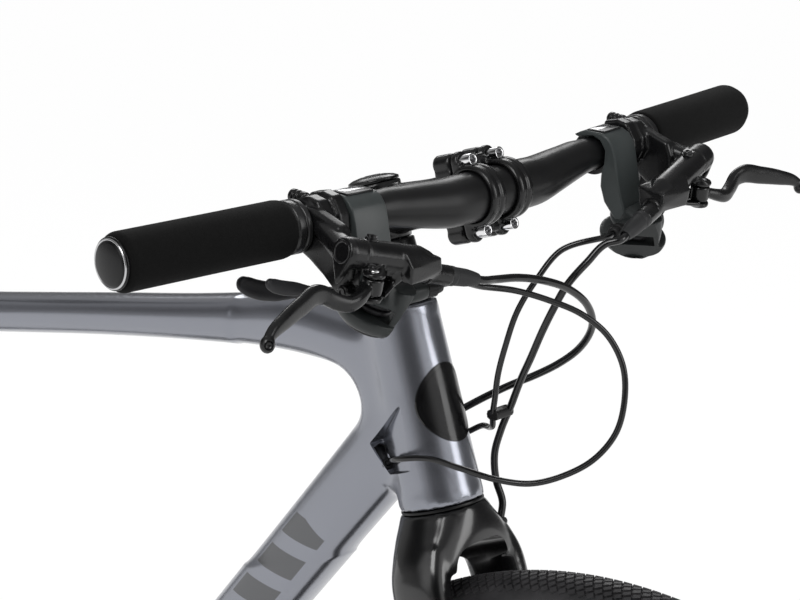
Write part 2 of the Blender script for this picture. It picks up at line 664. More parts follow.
def make_wheel(which, axle, hub_width, disc_side_flange, drive_side_flange):
    """Tyre, rim, laced hub and rotor of one wheel; the disc side is the left."""
    mouth = bead_radius + 6.5
    half = tyre_width / 2
    centre = tyre_radius - half
    outer = [(half * math.cos(math.radians(a)), centre + half * math.sin(math.radians(a)))
             for a in (-38, 10, 54)]
    outer += [(0.0, tyre_radius)] + [(-y, r) for y, r in reversed(outer)]
    scale = (half - tyre_wall) / half
    inner = [(y * scale, centre + (r - centre) * scale) for y, r in reversed(outer)][1::2]
    foot, lip = rim_width / 2 - 1.0, rim_width / 2 - 4.2
    profile = [(foot, mouth)] + outer + [(-foot, mouth), (-lip, mouth)] + inner + [(lip, mouth)]
    make_object(which + "_tyre", lathe(profile, axle, side, wheel_steps, closed=True), looks["rubber"],
                axle)

    w = rim_width / 2
    top = mouth - seat_gap
    low = top - rim_depth
    profile = [(w, top), (w - 0.6, top - 13.0), (5.0, low), (-5.0, low), (-w + 0.6, top - 13.0), (-w, top),
               (0.0, top - 7.0)]
    make_object(which + "_rim", lathe(profile, axle, side, wheel_steps, closed=True), looks["black"], axle)

    end = hub_width / 2
    bore = thru_axle_diameter / 2 + seat_gap
    left, right = disc_side_flange, drive_side_flange
    rotor_place = end - rotor_inset
    seat = rotor_place - rotor_thickness / 2 - seat_gap
    profile = [(-end, bore), (-end, 9.5)]
    profile += [(-right - 4.0, 9.5), (-right - 4.0, 15.0), (-right - 1.5, 15.0),
                (-right - 1.5, flange_radius), (-right + 1.5, flange_radius),
                (-right + 1.5, 14.0), (0.0, 12.0), (left - 1.5, 14.0), (left - 1.5, flange_radius),
                (left + 1.5, flange_radius), (left + 1.5, 17.0), (seat, 17.0), (seat, 10.0), (end, 10.0),
                (end, bore)]
    hub = lathe(profile, axle, side, 12, closed=True)
    spokes = bmesh.new()
    rim_reach = low * math.cos(math.pi / wheel_steps) - seat_gap
    pairs = spoke_count // 4
    for s, flange in ((1, left), (-1, -right)):
        for k in range(pairs):
            for lead in (-1, 1):
                turn = 2 * math.pi * (k + (0.25 if s < 0 else 0.0)) / pairs
                foot = turn + lead * math.radians(90.0 - spoke_offset)
                tip = turn + lead * math.pi / (2 * pairs)
                low_end = Vector((math.cos(foot), 0, math.sin(foot))) * (flange_radius - 3.5)
                low_end.y = flange + lead * 1.9
                high_end = Vector((math.cos(tip), 0, math.sin(tip))) * rim_reach
                high_end.y = s * 1.5
                add_bar(spokes, axle + low_end, axle + high_end, spoke_diameter / 2)
    make_object(which + "_hub", join(hub, spokes), looks["steel"], axle)

    inner = 17.6
    ring = lathe([(-rotor_thickness / 2, rotor_radius - 15.0), (-rotor_thickness / 2, rotor_radius),
                  (rotor_thickness / 2, rotor_radius), (rotor_thickness / 2, rotor_radius - 15.0)],
                 axle + side * rotor_place, side, 24, closed=True)
    carrier = lathe([(-rotor_thickness / 2, 10.5), (-rotor_thickness / 2, inner + 6.0),
                     (rotor_thickness / 2, inner + 6.0), (rotor_thickness / 2, 10.5)],
                    axle + side * rotor_place, side, 14, closed=True)
    arms = []
    for k in range(5):
        turn = 2 * math.pi * k / 5
        first = Vector((math.cos(turn), 0, math.sin(turn))) * (inner + 3.0)
        last = Vector((math.cos(turn + 0.55), 0, math.sin(turn + 0.55))) * (rotor_radius - 10.0)
        centre = axle + side * rotor_place + (first + last) / 2
        along = last - first
        lean = Matrix.Rotation(-math.atan2(along.z, along.x), 3, "Y")
        arms.append(block(centre, (along.length, rotor_thickness * 0.9, 7.0), None))
        bmesh.ops.rotate(arms[-1], verts=arms[-1].verts, cent=centre, matrix=lean)
    make_object(which + "_rotor", join(ring, carrier, *arms), looks["steel"], axle + side * rotor_place)


wheel_steps = 36
flange_radius = 27.0
spoke_offset = 16.0


def add_bar(bm, start, end, radius):
    """Add one three-sided bar to a mesh."""
    along, first, second = axis_frame(end - start)
    rings = []
    for place in (start, end):
        rings.append([bm.verts.new(place + first * (radius * a) + second * (radius * b))
                      for a, b in ((1.0, 0.0), (-0.5, 0.87), (-0.5, -0.87))])
    faces = [bm.faces.new(list(reversed(rings[0]))), bm.faces.new(rings[1])]
    for k in range(3):
        faces.append(bm.faces.new((rings[0][k], rings[0][(k + 1) % 3], rings[1][(k + 1) % 3], rings[1][k])))
    bmesh.ops.recalc_face_normals(bm, faces=faces)


def make_thru_axle(name, axle, half_length, head_side):
    """A thru axle with its head outside one dropout."""
    r = thru_axle_diameter / 2
    profile = [(0.0, 0.0), (0.0, r + 3.0), (6.0, r + 3.0), (6.0, r), (2 * half_length + 6.0, r),
               (2 * half_length + 6.0, 0.0)]
    start = axle + side * (head_side * (half_length + 6.0 + seat_gap))
    make_object(name, lathe(profile, start, side * -head_side, 12), looks["black"], axle)


def pitch_radius(teeth):
    return chain_pitch / (2.0 * math.sin(math.pi / teeth))


def toothed_outline(teeth, tip, root):
    """Tooth tips and valleys of a sprocket, as a round outline."""
    outline = []
    for k in range(teeth):
        for part, radius in ((0.0, tip), (0.5, root)):
            turn = 2 * math.pi * (k + part) / teeth
            outline.append((radius * math.cos(turn), radius * math.sin(turn)))
    return outline


def make_ring(name, teeth, line, inner):
    radius = pitch_radius(teeth)
    if name == "small_chainring":
        profile = [(-ring_thickness / 2, inner), (-ring_thickness / 2, radius),
                   (ring_thickness / 2, radius), (ring_thickness / 2, inner)]
        plain = lathe(profile, bb_centre - side * line, side, 32, closed=True)
        make_object(name, plain, looks["black"], bb_centre - side * line)
        return
    disc = prism([(bb_centre.x + x, bb_centre.z + z) for x,
                  z in toothed_outline(teeth, radius + 2.2, radius - 3.4)],
                 -line - ring_thickness / 2, -line + ring_thickness / 2)
    hole = rod(bb_centre - side * (line + 6.0), bb_centre - side * (line - 6.0), inner, 20)
    make_object(name, cut(disc, hole), looks["black"], bb_centre - side * line)


def make_cranks():
    ring_a = ring_line
    ring_b = ring_line - ring_spacing
    make_ring("large_chainring", large_ring_teeth, ring_a, pitch_radius(large_ring_teeth) - 11.0)
    make_ring("small_chainring", small_ring_teeth, ring_b, pitch_radius(small_ring_teeth) - 10.0)

    bb_face = bb_shell_width / 2 + seat_gap + 10.0
    spider_in = ring_a + ring_thickness / 2 + seat_gap
    spider_out = spider_in + 6.0
    hub = lathe([(bb_face + seat_gap, 0.0), (bb_face + seat_gap, 17.0), (spider_in, 19.0),
                 (spider_out, 21.0), (spider_out + 12.0, 17.0), (spider_out + 12.0, 0.0)], bb_centre,
                -side, 16)
    spindle_end = bb_face + 16.0
    spindle = rod(bb_centre - side * (bb_face + 2.0), bb_centre + side * spindle_end, spindle_radius, 14)
    solids = [spindle]
    large_reach = pitch_radius(large_ring_teeth) - 11.0 + 4.0
    for k in range(4):
        turn = math.radians(45.0 + 90.0 * k)
        d = Vector((math.cos(turn), 0.0, math.sin(turn)))
        start = bb_centre + d * 12.0 - side * (spider_in + 3.0)
        end = bb_centre + d * large_reach - side * (spider_in + 3.0)
        solids.append(sweep([start, end], [(3.0, 9.0), (3.0, 7.0)], 8, 4.0))
        peg = bb_centre + d * (pitch_radius(small_ring_teeth) - 5.0)
        solids.append(rod(peg - side * (spider_in + 3.0),
                          peg - side * (ring_b + ring_thickness / 2 + seat_gap), 4.0, 6))
    end_in = crank_end_offset
    path = [(0.0, spider_out + 5.0, 7.0, 15.0), (40.0, spider_out + 7.0, 6.5, 13.5),
            (crank_length - 30.0, end_in + crank_end_thickness / 2 - 1.0, 6.2, 12.0),
            (crank_length, end_in + crank_end_thickness / 2, 6.5, 13.5),
            (crank_length + 10.0, end_in + crank_end_thickness / 2, 6.3, 9.0)]
    for name, s in (("crank_right", -1), ("crank_left", 1)):
        points = [bb_centre + Vector((-s * x, s * y, 0.0)) for x, y, _, _ in path]
        arm = sweep(points, [(w, d) for _, _, w, d in path], 10, 3.0)
        pedal_eye = bb_centre + Vector((-s * crank_length, 0.0, 0.0))
        eye = rod(pedal_eye + side * (s * (end_in - 6.0)),
                  pedal_eye + side * (s * (end_in + crank_end_thickness + 6.0)),
                  pedal_axle_radius + seat_gap, 12)
        if s < 0:
            body = cut(join(hub, *solids, arm), eye)
        else:
            boss = lathe([(bb_face + seat_gap, 0.0), (bb_face + seat_gap, 17.0), (spider_out + 8.0, 19.0),
                          (spider_out + 12.0, 17.0), (spider_out + 12.0, 0.0)], bb_centre, side, 16)
            bore = rod(bb_centre + side * (bb_face - 4.0), bb_centre + side * (spindle_end + seat_gap),
                       spindle_radius + seat_gap, 14)
            body = cut(join(boss, arm), eye, bore)
        make_object(name, body, looks["black"], bb_centre)


pedal_axle_radius = 7.0
pedal_width = 92.0
pedal_length = 84.0
pedal_thickness = 26.0


def make_pedals():
    for name, s in (("pedal_right", -1), ("pedal_left", 1)):
        eye = bb_centre + Vector((-s * crank_length, 0.0, 0.0))
        inner = crank_end_offset + crank_end_thickness
        near = inner + running_gap + 7.0
        centre = eye + side * (s * (near + pedal_width / 2))
        body = block(centre, (pedal_length, pedal_width, pedal_thickness), bevel=4.0)
        windows = [block(centre + Vector((x, 0.0, 0.0)),
                         (18.0, pedal_width - 24.0, 60.0)) for x in (-24.0, 24.0)]
        body = cut(body, *windows)
        collar = lathe([(0.0, 0.0), (0.0, 10.0), (8.5, 10.0), (8.5, 0.0)],
                       eye + side * (s * (inner + running_gap)),
                       side * s, 12)
        stub = rod(eye + side * (s * (crank_end_offset + 1.5)), eye + side * (s * (near + 10.0)),
                   pedal_axle_radius, 12)
        make_object(name, join(body, collar, stub), looks["black"], eye)


def make_cassette():
    """Ten sprockets with their teeth left off, on one carrier."""
    first = ring_line + engaged_sprocket_index * sprocket_spacing
    bore = 9.5 + seat_gap
    half = ring_thickness / 2
    end = first - (len(sprocket_teeth) - 1) * sprocket_spacing - half
    profile = [(first + half + 2.0, bore), (first + half + 2.0, 13.0)]
    for k, teeth in enumerate(sprocket_teeth):
        place = first - k * sprocket_spacing
        tip = pitch_radius(teeth) - 4.2 if k == engaged_sprocket_index else pitch_radius(teeth) + 1.8
        valley = min(17.5, pitch_radius(teeth) - 5.0)
        profile += [(place + half, valley), (place + half, tip), (place - half, tip),
                    (place - half, valley)]
    profile[2] = (first + half, 13.0)
    profile[-1] = (end, bore)
    make_object("cassette", lathe(profile, rear_axle, -side, 12, closed=True), looks["steel"],
                rear_axle - side * ring_line)


guide_centre = rear_axle + Vector((6.0, -ring_line, -62.0))
tension_centre = rear_axle + Vector((34.0, -ring_line, -112.0))


def chain_path():
    """The chain's pitch line: round the ring, over the sprocket, round both pulleys and back."""
    ring = (bb_centre.x, bb_centre.z, pitch_radius(large_ring_teeth))
    cog = (rear_axle.x, rear_axle.z, pitch_radius(sprocket_teeth[engaged_sprocket_index]))
    pulley = pitch_radius(pulley_teeth)
    guide = (guide_centre.x, guide_centre.z, pulley)
    tension = (tension_centre.x, tension_centre.z, pulley)
    # Each wheel is passed anticlockwise seen from the left, apart from the guide pulley
    stops = [(ring, 1), (cog, 1), (guide, -1), (tension, 1)]
    wheels = []
    for k, (here, turn) in enumerate(stops):
        there, next_turn = stops[(k + 1) % len(stops)]
        dx, dz = there[0] - here[0], there[1] - here[1]
        length = math.hypot(dx, dz)
        heading = math.atan2(dz, dx)
        offset = (here[2] * turn - there[2] * next_turn) / length
        lean = heading + math.asin(max(-1.0, min(1.0, offset)))
        normal = (math.sin(lean), -math.cos(lean))
        wheels.append(((here[0] + here[2] * turn * normal[0], here[1] + here[2] * turn * normal[1]),
                       (there[0] + there[2] * next_turn * normal[0],
                        there[1] + there[2] * next_turn * normal[1])))
    points = []
    for k, (here, turn) in enumerate(stops):
        arrive = wheels[k - 1][1]
        leave = wheels[k][0]
        first = math.atan2(arrive[1] - here[1], arrive[0] - here[0])
        last = math.atan2(leave[1] - here[1], leave[0] - here[0])
        span = (last - first) * turn
        span %= 2 * math.pi
        steps = max(2, int(span / (0.28 if here[2] > 50 else 0.6)))
        for n in range(steps + 1):
            angle = first + turn * span * n / steps
            points.append((here[0] + here[2] * math.cos(angle), here[1] + here[2] * math.sin(angle)))
        a, b = leave, wheels[k][1]
        points.append(("free", a, b))
    return points


def make_chain():
    """Two rows of side plates joined by pins on the free runs, so the toothed wheels turn clear of it."""
    line = [p for p in chain_path() if p[0] != "free"]
    free = [(p[1], p[2]) for p in chain_path() if p[0] == "free"]
    half_height, inner, outer = 4.2, 1.9, 2.7
    solids = []
    for s in (-1, 1):
        near, far = sorted((s * inner, s * outer))
        rows = []
        count = len(line)
        bm = bmesh.new()
        for k, (x, z) in enumerate(line):
            bx, bz = line[k - 1]
            ax, az = line[(k + 1) % count]
            d1 = Vector((x - bx, z - bz)).normalized()
            d2 = Vector((ax - x, az - z)).normalized()
            mean = (d1 + d2).normalized()
            normal = Vector((mean.y, -mean.x)) / max(0.5, math.cos(0.5 * d1.angle(d2)))
            rows.append([bm.verts.new((x + normal.x * h, -ring_line + y, z + normal.y * h))
                         for h, y in ((-half_height, near), (half_height, near), (half_height, far),
                                      (-half_height, far))])
        for k in range(count):
            a, b = rows[k], rows[(k + 1) % count]
            for n in range(4):
                m = (n + 1) % 4
                bm.faces.new((a[n], a[m], b[m], b[n]))
        solids.append(outward(bm))
    pins = []
    for a, b in (free[0], free[3]):
        count = 4
        for n in range(count):
            t = 0.12 + 0.76 * n / (count - 1)
            x, z = a[0] + (b[0] - a[0]) * t, a[1] + (b[1] - a[1]) * t
            pins.append(block((x, -ring_line, z), (6.0, 2 * inner + 0.8, 5.0)))
    make_object("chain", join(solids[0], solids[1], *pins), looks["steel"], bb_centre - side * ring_line)


def make_rear_derailleur():
    y = -ring_line
    guide, tension = guide_centre, tension_centre
    bore = 2.5
    for name, place in (("guide_pulley", guide), ("tension_pulley", tension)):
        radius = pitch_radius(pulley_teeth)
        disc = prism([(place.x + x, place.z + z) for x,
                      z in toothed_outline(pulley_teeth, radius + 1.8, radius - 4.0)],
                     place.y - 1.2, place.y + 1.2)
        disc = join(disc, rod(place - side * 3.6, place + side * 3.6, 7.0, 8))
        hole = rod(place - side * 8.0, place + side * 8.0, bore + seat_gap, 8)
        make_object(name, cut(disc, hole), looks["black"], place)

    plates = []
    for s in (-1, 1):
        outline = []
        for centre, r, start, stop in ((guide, 9.0, 10, 190), (tension, 9.0, 190, 370)):
            lean = math.degrees(math.atan2(guide.z - tension.z, guide.x - tension.x)) - 90.0
            for k in range(5):
                a = math.radians(start - 10 + lean + (stop - start) * k / 4.0)
                outline.append((centre.x + r * math.cos(a), centre.z + r * math.sin(a)))
        low, high = sorted((y + s * 4.4, y + s * 6.4))
        plates.append(prism(outline, low, high))
    pins = [rod(p - side * 5.4, p + side * 5.4, bore, 8) for p in (guide, tension)]
    pivot = guide + Vector((0.0, -6.4, 0.0))
    boss = rod(pivot + side * 0.5, pivot - side * 7.0, 10.0, 12)
    make_object("derailleur_cage", join(plates[0], plates[1], *pins, boss), looks["black"], guide)

    hanger = Vector((rear_axle.x - 5.0, -(dropout_inner + dropout_thickness / 2), rear_axle.z - 30.0))
    knuckle_y = -(dropout_inner + dropout_thickness + running_gap)
    top_knuckle = rod((hanger.x, knuckle_y, hanger.z), (hanger.x, knuckle_y - 14.0, hanger.z), 9.5, 12)
    lower_y = pivot.y - 7.0 - seat_gap
    low_knuckle = rod((guide.x, lower_y, guide.z), (guide.x, lower_y - 17.0, guide.z), 12.0, 12)
    link_a = Vector((hanger.x, hanger.y - 13.5, hanger.z))
    link_b = Vector((guide.x, lower_y - 9.0, guide.z))
    link = sweep([link_a + Vector((4.0, 0, 2.0)), link_a.lerp(link_b, 0.5) + Vector((13.0, -3.0, 2.0)),
                  link_b], [(7.0, 7.5), (7.5, 9.5), (7.5, 9.0)], 10, 3.0)
    make_object("rear_derailleur", join(top_knuckle, link, low_knuckle), looks["black"], hanger)


def make_front_derailleur():
    """Band clamp on the seat tube, with a cage that straddles the chain's upper run."""
    clamp = bb_centre + seat_up * 150.0
    band = lathe([(-8.0, seat_tube_radius + seat_gap), (-8.0, seat_tube_radius + 3.2),
                  (8.0, seat_tube_radius + 3.2), (8.0, seat_tube_radius + seat_gap)], clamp, seat_up, 12,
                 closed=True)
    arm = block(clamp + Vector((0.0, -(seat_tube_radius + 9.0), -8.0)), (20.0, 16.0, 26.0), bevel=3.0)
    run = [p for p in chain_path() if p[0] == "free"][0]
    a, b = Vector((run[1][0], 0.0, run[1][1])), Vector((run[2][0], 0.0, run[2][1]))
    t = 0.13
    middle = a.lerp(b, t) - side * ring_line
    slope = math.atan2(a.z - b.z, a.x - b.x)
    plates = []
    for y in (-8.2, 6.6):
        plate = block((0.0, y + 0.8, 5.2), (86.0, 1.6, 23.6))
        plates.append(plate)
    roof = block((-2.0, 0.0, 15.5), (26.0, 16.4, 3.0))
    tail = block((-40.0, 0.0, -7.4), (5.0, 16.4, 2.4))
    cage = join(plates[0], plates[1], roof, tail)
    turn = Matrix.Rotation(-slope, 3, "Y")
    bmesh.ops.transform(cage, matrix=turn.to_4x4(), verts=cage.verts)
    bmesh.ops.translate(cage, verts=cage.verts, vec=middle)
    link = sweep([clamp + Vector((0.0, -(seat_tube_radius + 14.0), -14.0)),
                  middle + Vector((-2.0, 0.0, 16.0))], [(6.0, 7.0), (6.0, 6.0)], 8, 3.0)
    make_object("front_derailleur", join(band, arm, link, cage), looks["black"], clamp)


wheel_clearance = 22.0
fork_tunnel_half = 26.0
tunnel_depth = 118.0
fork_dropout_inner = front_hub_width / 2 + seat_gap
fork_dropout_thickness = 12.0
front_rotor_line = front_hub_width / 2 - rotor_inset
caliper_half_width = 10.0


def make_fork():
    steerer_top = stem_rise_above_head + stem_clamp_height / 2 - 3.0 + head_tube_length
    steerer = rod(head_bottom - head_up * 4.0, head_bottom + head_up * steerer_top, steerer_radius, 16)
    rows = ((-1.7, 0.0, 28.5, 28.5, 2.0), (-7.0, 0.0, 29.0, 31.0, 2.1), (-18.0, 0.0, 29.0, 38.0, 2.4),
            (-30.0, 0.5, 27.0, 44.5, 2.8), (-42.0, 1.0, 24.5, 48.0, 3.2))
    rings = []
    for along, forward, deep, wide, power in rows:
        centre = head_bottom + head_up * (along - seat_gap) + head_forward * forward
        rings.append(section(centre, head_forward, side, deep, wide, 18, power))
    body = join(loft(rings), steerer)
    for s in (-1, 1):
        rows = ((-26.0, 0.5, 29.0, 11.5, 22.0), (-44.0, 1.0, 36.5, 11.8, 22.5),
                (-66.0, 1.5, 38.5, 11.3, 22.0), (-0.306 * axle_to_crown, 6.0, 42.0, 10.0, 19.0),
                (-0.536 * axle_to_crown, 19.0, 47.0, 8.5, 15.5), (-0.765 * axle_to_crown, 35.0, 52.0, 7.5, 13.0),
                (-axle_to_crown - 4.0, fork_rake, fork_dropout_inner + fork_dropout_thickness / 2, 5.5,
                 12.0),
                (-axle_to_crown - 12.0, fork_rake, fork_dropout_inner + fork_dropout_thickness / 2, 5.2,
                 8.0))
        points = []
        for along, forward, out, _, _ in rows:
            points.append(head_bottom + head_up * along + head_forward * forward + side * (s * out))
        body = join(body, sweep(points, [(w, d) for _, _, _, w, d in rows], 8, 2.8))
        eye = front_axle + side * (s * fork_dropout_inner)
        body = join(body, rod(eye, eye + side * (s * fork_dropout_thickness), 12.5, 12))
    lug_in = front_rotor_line + caliper_half_width + seat_gap
    lug = block((0.0, 0.0, 0.0), (46.0, 9.0, 34.0), bevel=2.0)
    bmesh.ops.transform(lug, matrix=Matrix.Rotation(head_lean - math.pi / 2, 4, "Y"), verts=lug.verts)
    lug_place = front_axle + head_up * 48.0 - head_forward * 38.0 + side * (lug_in + 4.5)
    bmesh.ops.translate(lug, verts=lug.verts, vec=lug_place)
    body = join(body, lug)
    r = tyre_radius + wheel_clearance
    h = fork_tunnel_half
    tunnel = lathe([(-h, r - tunnel_depth), (-h, r - 10.0), (-h + 10.0, r), (h - 10.0, r),
                    (h, r - 10.0), (h, r - tunnel_depth)], front_axle, side, 36, closed=True)
    axle_bore = rod(front_axle - side * 80.0, front_axle + side * 80.0, thru_axle_diameter / 2 + seat_gap,
                    12)
    body = cut(body, tunnel, axle_bore, port_bore(fork_port, fork_port_aim, hose_diameter))
    make_object("fork", body, looks["fork"], head_bottom)


fork_port = head_bottom + Vector((21.0, 34.5, -17.0))
fork_port_aim = Vector((-0.15, 0.35, 0.92)).normalized()


def port_bore(place, aim, diameter):
    return rod(place - aim * 12.0, place + aim * 30.0, diameter / 2 + running_gap, 8)


caliper_turn = math.radians(55.0)
caliper_reach = 74.0


def make_front_caliper():
    """A caliper over the rotor's edge, held against the lug behind the left blade."""
    outward_way = head_up * math.cos(caliper_turn) - head_forward * math.sin(caliper_turn)
    tangent = outward_way.cross(side)
    body = block((0.0, 0.0, 0.0), (26.0, 2 * caliper_half_width, 46.0), bevel=4.0)
    slot = block((9.0, 0.0, 0.0), (38.0, rotor_thickness + 2.2, 70.0))
    body = cut(body, slot)
    turn = Matrix((-outward_way, side, -tangent)).transposed()
    place = front_axle + outward_way * caliper_reach + side * front_rotor_line
    bmesh.ops.transform(body, matrix=turn.to_4x4(), verts=body.verts)
    bmesh.ops.translate(body, verts=body.verts, vec=place)
    make_object("front_caliper", body, looks["black"], place)


def make_stem():
    half = stem_clamp_height / 2
    top, low = stem_centre + head_up * half, stem_centre - head_up * half
    clamp = rod(low, top, stem_clamp_radius, 16)
    bar_r = bar_clamp_diameter / 2
    start = stem_centre + stem_along * 8.0
    end = bar_centre - stem_along * (bar_r + 2.0)
    across = stem_across
    rings = [section(start, side, across, 17.0, 16.5, 12, 2.3),
             section(start.lerp(end, 0.55), side, across, 15.5, 15.0, 12, 2.3),
             section(end, side, across, 18.5, 17.0, 12, 2.6)]
    neck = loft(rings)
    w = faceplate_half_width
    out = bar_r + 11.5
    jaw_face, plate_face, ear_front = face_split - 0.6, face_split + 0.6, face_split + 6.0
    outline = [(jaw_face, -out), (jaw_face, out), (jaw_face - 6.5, out - 1.0), (-bar_r - 6.0, 15.0),
               (-bar_r - 6.0, -15.0), (jaw_face - 6.5, -out + 1.0)]
    jaw = prism(outline, -w, w, stem_along, across, bar_centre)
    body = join(clamp, neck, jaw)
    bar_bore = rod(bar_centre - side * 40.0, bar_centre + side * 40.0, bar_r + seat_gap, 20)
    steerer_bore = rod(low - head_up * 2.0, top + head_up * 2.0, steerer_radius + seat_gap, 16)
    bolts = []
    for y, z, _ in faceplate_bolts():
        place = bar_centre + side * y + across * z
        bolts.append(rod(place - stem_along * 30.0, place, 2.5 + seat_gap, 8))
    pinches = [block(stem_centre - head_forward * (stem_clamp_radius + 4.0) + head_up * z,
                     (13.0, 24.0, 13.0), bevel=2.5)
               for z in (-11.0, 11.0)]
    body = join(body, *pinches)
    slit = block((0.0, 0.0, 0.0), (30.0, 1.6, stem_clamp_height + 10.0))
    bmesh.ops.rotate(slit, verts=slit.verts, cent=(0, 0, 0),
                     matrix=Matrix.Rotation(head_lean - math.pi / 2, 3, "Y"))
    bmesh.ops.translate(slit, verts=slit.verts, vec=stem_centre - head_forward * (stem_clamp_radius + 8.0))
    body = cut(body, bar_bore, steerer_bore, slit, *bolts)
    make_object("stem", body, looks["black"], stem_centre)

    outline = [(plate_face, -out), (ear_front, -out), (ear_front, -bar_r - 2.3), (8.0, -bar_r - 2.3),
               (16.5, -11.0), (20.4, 0.0), (16.5, 11.0), (8.0, bar_r + 2.3), (ear_front, bar_r + 2.3),
               (ear_front, out), (plate_face, out)]
    plate = prism(outline, -w, w, stem_along, across, bar_centre)
    middle = faceplate_bolt_spacing / 2 - 6.5
    opening = prism([(6.0, -bar_r - 2.0), (40.0, -bar_r - 2.0), (40.0, bar_r + 2.0), (6.0, bar_r + 2.0)],
                    -middle, middle, stem_along, across, bar_centre)
    holes = []
    for y, z, _ in faceplate_bolts():
        place = bar_centre + side * y + across * z
        holes.append(rod(place - stem_along * 20.0, place + stem_along * 8.0, 2.5 + seat_gap, 8))
    hollow = [(bar_r + seat_gap) * math.cos(math.radians(a)) for a in range(-90, 91, 15)]
    hollow = list(zip(hollow, [(bar_r + seat_gap) * math.sin(math.radians(a)) for a in range(-90, 91, 15)]))
    hollow += [(face_split - 10.0, bar_r + seat_gap), (face_split - 10.0, -bar_r - seat_gap)]
    plate = cut(plate, prism(hollow, -w - 5.0, w + 5.0, stem_along, across, bar_centre), opening, *holes)
    make_object("stem_faceplate", plate, looks["black"], bar_centre)

    seat, low = ear_front + seat_gap, face_split - 14.0
    socket, head = 2.2, 4.0
    for y, z, name in faceplate_bolts():
        place = bar_centre + side * y + across * z
        profile = [(low, 0.0), (low, 2.5), (seat, 2.5), (seat, head), (seat + 8.5, head),
                   (seat + 8.5, socket), (seat + 4.5, socket), (seat + 4.5, 0.0)]
        make_object(name, lathe(profile, place, stem_along, 8), looks["chrome"], place)

    cap_base = half + seat_gap
    steerer_end = half - 3.0
    profile = [(steerer_end + seat_gap, 0.0), (steerer_end + seat_gap, steerer_radius - 0.2),
               (cap_base, steerer_radius - 0.2), (cap_base, 16.5), (cap_base + 2.2, 16.5),
               (cap_base + 3.6, 15.0), (cap_base + 4.0, 6.0), (cap_base + 2.0, 3.6),
               (cap_base + 2.0, 0.0)]
    make_object("stem_top_cap", lathe(profile, stem_centre, head_up, 16), looks["black"], stem_centre)


face_split = -11.5


def faceplate_bolts():
    places = []
    for y, a in ((-1, "right"), (1, "left")):
        for z, b in ((1, "upper"), (-1, "lower")):
            places.append((y * faceplate_bolt_spacing / 2, z * faceplate_bolt_offset,
                           "faceplate_bolt_" + b + "_" + a))
    return places


def bar_point(out, s=1):
    """A point on the handlebar's centre line, out along it from the middle."""
    past = max(0.0, out - bar_straight_half)
    lean = math.radians(bar_sweep)
    rise = bar_rise * min(1.0, max(0.0, (out - 45.0) / 50.0))
    return bar_centre + Vector((-math.sin(lean) * past,
                                s * (min(out, bar_straight_half) + math.cos(lean) * past), rise))


def bar_outward(s):
    lean = math.radians(bar_sweep)
    return Vector((-math.sin(lean), s * math.cos(lean), 0.0))


def make_handlebar():
    thick, thin = bar_clamp_diameter / 2, bar_end_diameter / 2
    stations = [(0.0, thick), (33.0, thick), (50.0, thick - 0.8), (70.0, thick - 2.2), (90.0, thin + 1.2),
                (103.0, thin), (130.0, thin), (bar_half_length, thin)]
    points, sizes = [], []
    for out, r in reversed(stations):
        points.append(bar_point(out, -1))
        sizes.append((r, r))
    for out, r in stations[1:]:
        points.append(bar_point(out, 1))
        sizes.append((r, r))
    bar = sweep(points, sizes, 12, 2.0, side=(0.0, 0.0, 1.0))
    bores = [rod(bar_point(bar_half_length, s) - bar_outward(s) * 30.0,
                 bar_point(bar_half_length, s) + bar_outward(s) * 2.0,
                 thin - 2.0, 12) for s in (-1, 1)]
    make_object("handlebar", cut(bar, *bores), looks["black"], bar_centre)


def make_grips():
    thin = bar_end_diameter / 2
    for name, s in (("right", -1), ("left", 1)):
        out = bar_outward(s)
        r = grip_diameter / 2
        start = bar_point(grip_start, s)
        c = grip_collar_length
        full = grip_length + c
        inner = thin + seat_gap
        profile = [(0.0, inner), (0.0, r - 1.2), (1.0, r - 0.2), (c, r - 0.2), (c + 0.6, r - 0.6),
                   (c + 4.0, r + 0.2), (full * 0.55, r), (full - 4.0, r), (full, r - 1.5), (full, inner)]
        make_object("grip_" + name, lathe(profile, start, out, 16, closed=True), looks["foam"], start)
        end = bar_point(bar_half_length, s)
        plug = [(-20.0, 0.0), (-20.0, thin - 2.0 - seat_gap), (seat_gap, thin - 2.0 - seat_gap),
                (seat_gap, r - 1.6), (1.4, r - 1.0), (3.0, r - 2.4), (4.4, r * 0.5), (4.8, 0.0)]
        make_object("bar_plug_" + name, lathe(plug, end, out, 12), looks["black"], end)


def side_point(s, x, y, z):
    """A point beside the bar, with y counted outwards from the grip's inner end."""
    return bar_centre + Vector((x, s * (grip_start + y), z))


def clamp_ring(s, place, width, thickness):
    """A band round the bar, before the bar's own bore is cut."""
    full = bar_end_diameter / 2 + seat_gap + thickness
    half = width / 2
    profile = [(-half, 0.0), (-half, full - 0.8), (-half + 0.8, full), (half - 0.8, full),
               (half, full - 0.8), (half, 0.0)]
    return lathe(profile, bar_point(place, s), bar_outward(s), 14)


brake_start = (36.5, 12.0, 1.0)
brake_aim = (0.135, -0.957, -0.255)
lever_pivot = (45.8, -2.6, -20.0)
pivot_lean = (0.16, 0.05, 0.98)


